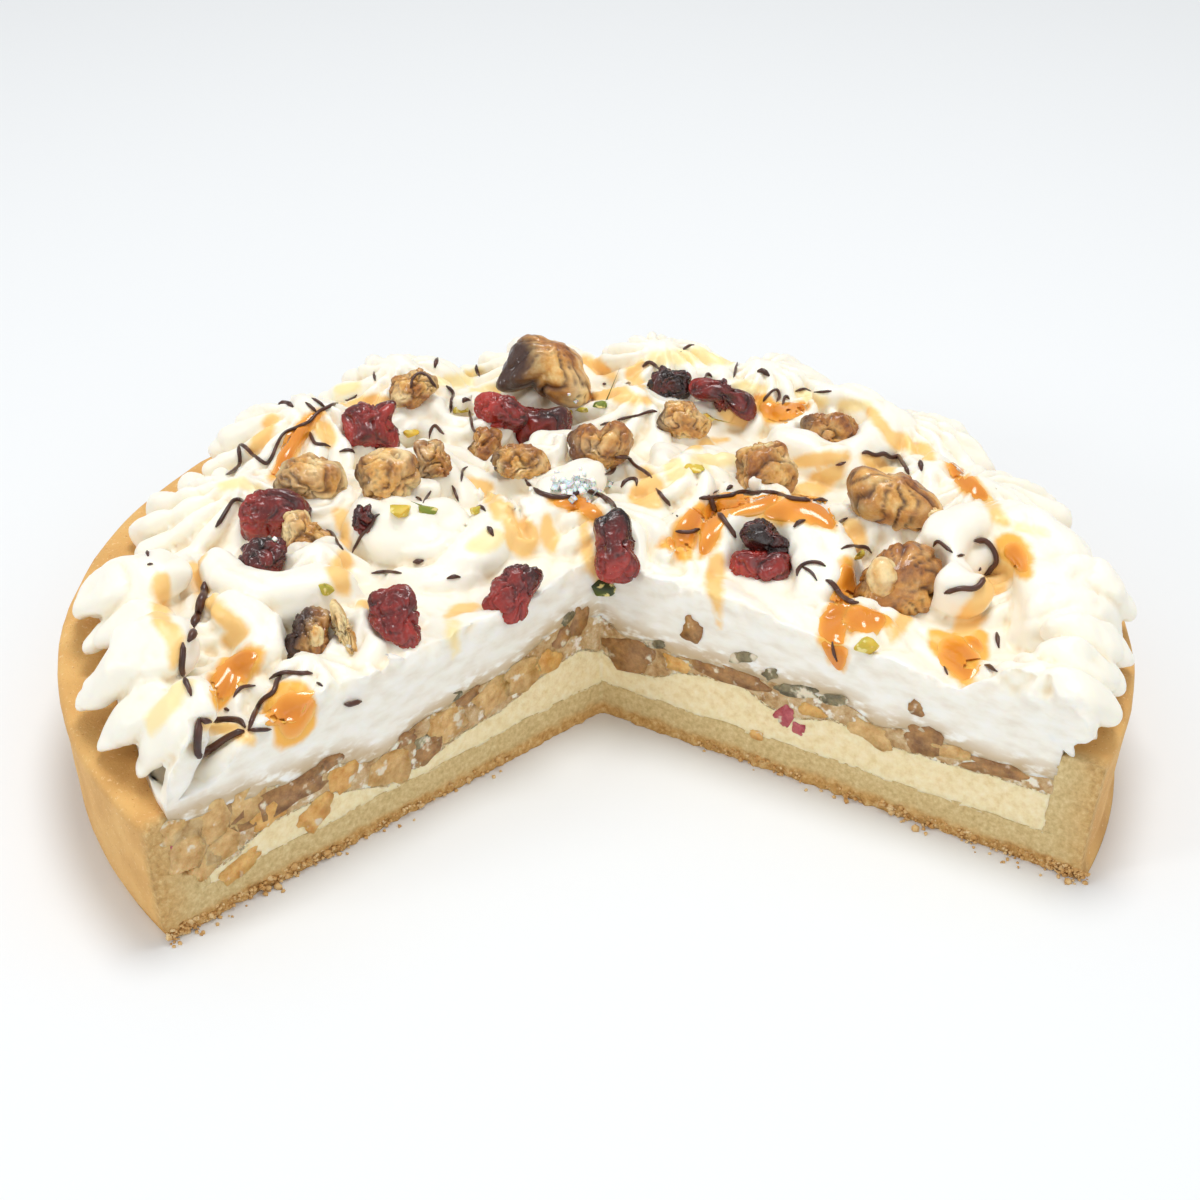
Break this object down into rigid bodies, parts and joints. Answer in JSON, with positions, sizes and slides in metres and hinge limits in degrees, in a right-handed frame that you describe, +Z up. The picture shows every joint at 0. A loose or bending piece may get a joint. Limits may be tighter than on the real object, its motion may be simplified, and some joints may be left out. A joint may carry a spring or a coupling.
{
  "type": "sour cream tart",
  "caption": "Deep round shortcrust tart of baked custard, fruit and nuts under piped sour cream with walnuts and dried berries, with a wedge already cut out.",
  "frame": {"origin": "on the surface the tart stands on, under the middle of its box", "axes": "+Z up; +X to the right and +Y to the back as seen from the side where the wedge is cut out; -Y faces the missing wedge"},
  "size_m": [0.2802, 0.2334, 0.0678],
  "materials": {
    "shortcrust": "baked shortcrust, golden, smooth and finely speckled outside, sandy and crumbly where cut",
    "custard": "set baked custard, pale yellow, dense and slightly moist",
    "fruit_and_nuts": "chopped fruit and nuts in light custard, moist, tan to dark brown",
    "cream": "piped sour cream, ivory white, soft satin, with caramel, chocolate and pistachio on it",
    "walnut": "glazed walnut kernel, wrinkled, tan ridges with a darker skin",
    "dried_berry": "dried sweetened berry, dark red, wrinkled and glossy"
  },
  "bodies": {
    "root": {"crust": "shortcrust", "custard": "custard", "fruit_and_nuts": "fruit_and_nuts", "cream": "cream", "walnut_01": "walnut", "walnut_02": "walnut", "walnut_03": "walnut", "walnut_04": "walnut", "walnut_05": "walnut", "walnut_06": "walnut", "walnut_07": "walnut", "walnut_08": "walnut", "walnut_09": "walnut", "walnut_10": "walnut", "walnut_11": "walnut", "walnut_12": "walnut", "walnut_13": "walnut", "walnut_14": "walnut", "walnut_15": "walnut", "walnut_16": "walnut", "dried_berry_01": "dried_berry", "dried_berry_02": "dried_berry", "dried_berry_03": "dried_berry", "dried_berry_04": "dried_berry", "dried_berry_05": "dried_berry", "dried_berry_06": "dried_berry", "dried_berry_07": "dried_berry", "dried_berry_08": "dried_berry", "dried_berry_09": "dried_berry", "dried_berry_10": "dried_berry", "dried_berry_11": "dried_berry", "dried_berry_12": "dried_berry", "dried_berry_13": "dried_berry"}
  },
  "joints": []
}
